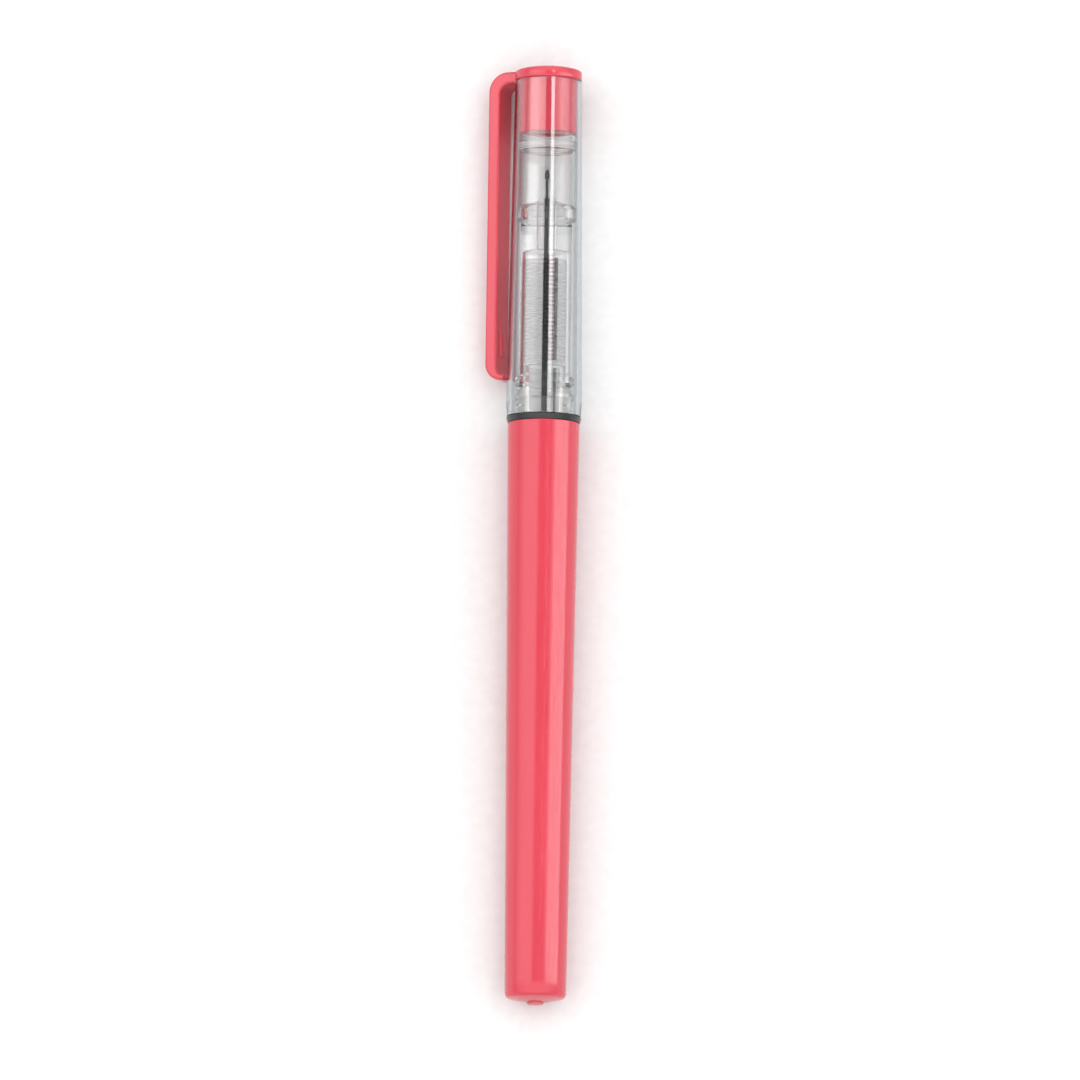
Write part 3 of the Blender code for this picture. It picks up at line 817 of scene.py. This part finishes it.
def clip_outline():
    """The clip from the side: arch, straight arm and a toe that hooks in towards the cap."""
    inner_bend = (CLIP_INNER - ARCH_INNER_BEND, ARCH_UNDERSIDE - ARCH_INNER_BEND)
    outer_bend = (CLIP_OUTER - ARCH_OUTER_BEND, ARCH_TOP - ARCH_OUTER_BEND)
    tip_centre = (CLIP_OUTER - TIP_BEND, CLIP_TIP + TIP_BEND)
    hook_depth = TOE_TOP - CLIP_TIP - TOE_THICKNESS
    toe_centre = (TOE_END, CLIP_TIP + TOE_THICKNESS / 2)
    return [
        (ROOT_INSIDE, ARCH_UNDERSIDE),
        *arc(inner_bend, ARCH_INNER_BEND, ARCH_INNER_BEND, 90, 0, 10),
        *arc((TOE_END, TOE_TOP), CLIP_INNER - TOE_END, hook_depth, 0, -90, 10),
        *arc(toe_centre, TOE_THICKNESS / 2, TOE_THICKNESS / 2, 90, 270, 12)[1:],
        *arc(tip_centre, TIP_BEND, TIP_BEND, 270, 360, 10),
        *arc(outer_bend, ARCH_OUTER_BEND, ARCH_OUTER_BEND, 0, 90, 12),
        (ROOT_INSIDE, ARCH_TOP),
    ]


def knob_outline():
    """The narrow ridge on the clip's inner face, which keeps a pocket's edge from sliding out."""
    root = CLIP_INNER + KNOB_ROOT
    return [
        (root, KNOB_TOP),
        *eased((CLIP_INNER, KNOB_TOP), (KNOB_REACH, KNOB_CREST)),
        *arc((CLIP_INNER, KNOB_CREST), CLIP_INNER - KNOB_REACH, KNOB_CREST - KNOB_LOW, 180, 270, 10),
        (root, KNOB_LOW),
    ]


def round_edges(made, width, segments):
    """A Bevel modifier for the long edges of a slab."""
    edge = made.modifiers.new("round edges", "BEVEL")
    edge.width = width * MM
    edge.segments = segments
    edge.angle_limit = math.radians(60)


def add_clip_plug(finish):
    """Clip, flange, dome and plug in one moulding."""
    outline = rounded(
        [
            (0, PLUG_CEILING),
            (PLUG_BORE, PLUG_CEILING, 0.5),
            (PLUG_BORE, PLUG_LOW, 0.15),
            (PLUG_RADIUS, PLUG_LOW, 0.15),
            (PLUG_RADIUS, FLANGE_LOW, 0.05),
            (FLANGE_RADIUS, FLANGE_LOW, 0.12),
            *arc((0, DOME_LOW), FLANGE_RADIUS, DOME_TOP - DOME_LOW, 0, 90, 24)[:-1],
            (0, DOME_TOP),
        ]
    )
    clip = add_piece("clip_plug", slab(clip_outline(), CLIP_WIDTH), "cap", finish)
    round_edges(clip, CLIP_EDGE, 5)
    knob = add_object("knob_body", slab(knob_outline(), KNOB_WIDTH))
    round_edges(knob, KNOB_EDGE, 4)
    plug = add_object("plug_body", turned(outline, SHELL_FACETS))
    for body in (knob, plug):
        join = clip.modifiers.new(body.name, "BOOLEAN")
        join.object = body
        join.operation = "UNION"
    apply_modifiers(clip)
    bpy.data.objects.remove(knob)
    bpy.data.objects.remove(plug)


def add_cartridge_tube(finish):
    """The ink's tube, closed at the rear, whose neck sits over the connector's spout."""
    outline = rounded(
        [
            (0, CARTRIDGE_LOW),
            (CARTRIDGE_RADIUS, CARTRIDGE_LOW, 0.6),
            (CARTRIDGE_RADIUS, CARTRIDGE_SHOULDER - 0.9, 0.4),
            (NECK_RADIUS, CARTRIDGE_SHOULDER, 0.1),
            (NECK_RADIUS, CARTRIDGE_TOP, 0.12),
            (NECK_BORE, CARTRIDGE_TOP, 0.1),
            (NECK_BORE, CARTRIDGE_SHOULDER - 0.4, 0.1),
            (CARTRIDGE_BORE, CARTRIDGE_SHOULDER - 1.4, 0.4),
            (CARTRIDGE_BORE, CARTRIDGE_LOW + 1.0, 0.5),
            (0, CARTRIDGE_LOW + 1.0),
        ]
    )
    add_piece("cartridge_tube", turned(outline, INNER_FACETS), "cartridge", finish)


def add_cartridge_ball(finish):
    """A finer ball in the CAD ball's place."""
    low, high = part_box("cartridge_ball")
    middle = PEN.inverted() @ ((low + high) / 2)
    bm = bmesh.new()
    bmesh.ops.create_icosphere(bm, subdivisions=5, radius=BALL_RADIUS * MM)
    bmesh.ops.translate(bm, verts=bm.verts, vec=middle)
    add_piece("cartridge_ball", bm, "cartridge", finish)


def add_ink_charge(finish):
    """The ink in the cartridge, with a hollow surface towards the neck."""
    low = CARTRIDGE_LOW + 1.1
    outline = rounded(
        [
            (0, low),
            (INK_RADIUS, low, 0.5),
            (INK_RADIUS, INK_TOP),
            (INK_RADIUS - 0.3, INK_TOP - 0.3, 0.4),
            (0, INK_TOP - 0.4),
        ]
    )
    add_piece("ink_charge", turned(outline, ROD_FACETS), "cartridge", finish)


# ---------------------------------------------------------------- studio


def add_floor():
    """A plain sheet, far larger than the view."""
    bm = bmesh.new()
    bmesh.ops.create_grid(bm, x_segments=1, y_segments=1, size=FLOOR_HALF)
    mesh = bpy.data.meshes.new("floor")
    bm.to_mesh(mesh)
    bm.free()
    mesh.materials.append(floor_finish())
    floor = bpy.data.objects.new("floor", mesh)
    bpy.context.scene.collection.objects.link(floor)


def add_camera():
    """A long lens over the pen's middle, which fits the view's width into the sensor."""
    camera = bpy.data.objects.new("camera", bpy.data.cameras.new("camera"))
    bpy.context.scene.collection.objects.link(camera)
    camera.data.lens = LENS
    camera.data.sensor_width = SENSOR
    camera.data.clip_end = 100.0
    tilt = math.radians(VIEW_TILT)
    turn = Matrix.Rotation(tilt, 4, "X") @ Matrix.Rotation(math.radians(VIEW_ROLL), 4, "Z")
    middle = PEN @ Vector((0, 0, DOME_TOP / 2 * MM))
    target = middle + turn @ Vector((-VIEW_ASIDE * MM, -VIEW_ALONG * MM, 0))
    distance = VIEW_WIDTH * MM * LENS / SENSOR
    camera.matrix_world = Matrix.Translation(target + turn @ Vector((0, 0, distance))) @ turn
    bpy.context.scene.camera = camera


def add_world():
    """A dome that is brightest overhead, with bands of soft boxes that leave a gap for the camera."""
    world = bpy.data.worlds.new("studio")
    bpy.context.scene.world = world
    world.use_nodes = True
    tree = world.node_tree

    def add(kind, *sources, **values):
        node = tree.nodes.new(kind)
        for key, value in values.items():
            setattr(node, key, value)
        for source, target in zip(sources, node.inputs):
            tree.links.new(source, target)
        return node

    def span(source, start, end, low, high, kind="LINEAR"):
        node = add("ShaderNodeMapRange", source, interpolation_type=kind)
        for name, value in zip(("From Min", "From Max", "To Min", "To Max"), (start, end, low, high)):
            node.inputs[name].default_value = value
        return node.outputs["Result"]

    direction = add("ShaderNodeSeparateXYZ", add("ShaderNodeTexCoord").outputs["Generated"])
    angle = add("ShaderNodeMath", direction.outputs["X"], direction.outputs["Z"], operation="ARCTAN2")
    share = span(angle.outputs[0], -math.pi / 2, math.pi / 2, 0.0, 1.0)
    light = span(direction.outputs["Z"], 0.0, 0.8, HORIZON_LEVEL / PEAK_LEVEL, ZENITH_LEVEL / PEAK_LEVEL)
    for (middle, half), levels in LIGHT_BANDS:
        ramp = add("ShaderNodeValToRGB", share)
        steps = ramp.color_ramp.elements
        for index, (degrees, level) in enumerate(levels):
            step = steps[index] if index < 2 else steps.new(1.0)
            step.position = (degrees + 90) / 180
            step.color = (level / PEAK_LEVEL, level / PEAK_LEVEL, level / PEAK_LEVEL, 1.0)
        away = add("ShaderNodeMath", direction.outputs["Y"], operation="SUBTRACT")
        away.inputs[1].default_value = middle
        off = add("ShaderNodeMath", away.outputs[0], operation="ABSOLUTE")
        inside = span(off.outputs[0], half, half + BAND_SOFTNESS, 1.0, 0.0, "SMOOTHSTEP")
        mix = add("ShaderNodeMix", inside, data_type="RGBA")
        tree.links.new(light, mix.inputs[6])
        tree.links.new(ramp.outputs["Color"], mix.inputs[7])
        light = mix.outputs[2]
    background = tree.nodes["Background"]
    background.inputs["Strength"].default_value = PEAK_LEVEL
    tree.links.new(light, background.inputs["Color"])


# Every visible piece, in the order in which it was made.
PIECES = []

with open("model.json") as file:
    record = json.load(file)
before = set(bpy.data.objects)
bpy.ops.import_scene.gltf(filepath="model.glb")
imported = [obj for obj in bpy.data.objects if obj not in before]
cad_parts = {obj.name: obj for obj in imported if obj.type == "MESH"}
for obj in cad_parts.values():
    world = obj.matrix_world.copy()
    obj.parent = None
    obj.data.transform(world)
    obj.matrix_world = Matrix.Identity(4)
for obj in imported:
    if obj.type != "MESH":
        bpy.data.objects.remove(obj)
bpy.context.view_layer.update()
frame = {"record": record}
PEN = pen_matrix(frame["record"])
clip_out = PEN.col[0]
ROLL_DEGREES = math.degrees(math.asin(-clip_out[2] / PEN.col[2][1]))

coral = opaque_plastic("coral", (0.61, 0.049, 0.076), (0.57, 0.044, 0.069), 0.12)
ink = opaque_plastic("ink", (0.003, 0.003, 0.004), (0.005, 0.005, 0.006), 0.08, 0.0)
add_barrel(coral)
add_tail_plug(opaque_plastic("dull_coral", (0.62, 0.11, 0.12), (0.56, 0.1, 0.11), 0.3))
add_collar_ring(opaque_plastic("black", (0.012, 0.014, 0.016), (0.02, 0.022, 0.025), 0.28))
add_connector(clear_plastic("clear", (0.78, 0.78, 0.775), (0.66, 0.66, 0.65), 0.02, 1.25))
add_section_shell(clear_plastic("smoke", (0.94, 0.945, 0.95), (0.72, 0.73, 0.74), 0.02, 1.15))
add_collector(clear_plastic("comb", (0.93, 0.935, 0.935), (0.85, 0.85, 0.85), 0.1, 1.08), ROLL_DEGREES)
add_channel_ink(ink, ROLL_DEGREES)
add_feed_wick(fibre("wick", (0.004, 0.004, 0.005), 0.55))
add_tip_holder(clear_plastic("holder", (0.97, 0.97, 0.97), (0.9, 0.9, 0.9), 0.06, 1.12))
add_brush_tip(fibre("brush", (0.02, 0.02, 0.022), 0.5))
# The cap's dark bluish edge colour is painted shade along its walls.
add_cap_shell(clear_plastic("cap", (0.98, 0.985, 0.985), (0.3, 0.35, 0.38), 0.0, shade=0.92))
# The seal's grey tint is partly painted shade: it darkens the floor under the pen as seen through it.
add_inner_cap(clear_plastic("seal", (0.89, 0.89, 0.89), (0.7, 0.7, 0.7), 0.02, 1.25))
add_clip_plug(coral)
add_cartridge_tube(clear_plastic("milky", (0.9, 0.92, 0.92), (0.8, 0.82, 0.82), 0.2))
add_cartridge_ball(steel("ball"))
add_ink_charge(ink)

for piece in PIECES:
    even_normals(piece)

add_floor()
add_camera()
add_world()
scene = bpy.context.scene
scene.view_settings.view_transform = "Standard"
scene.cycles.max_bounces = 32
scene.cycles.transmission_bounces = 28
scene.cycles.transparent_max_bounces = 32
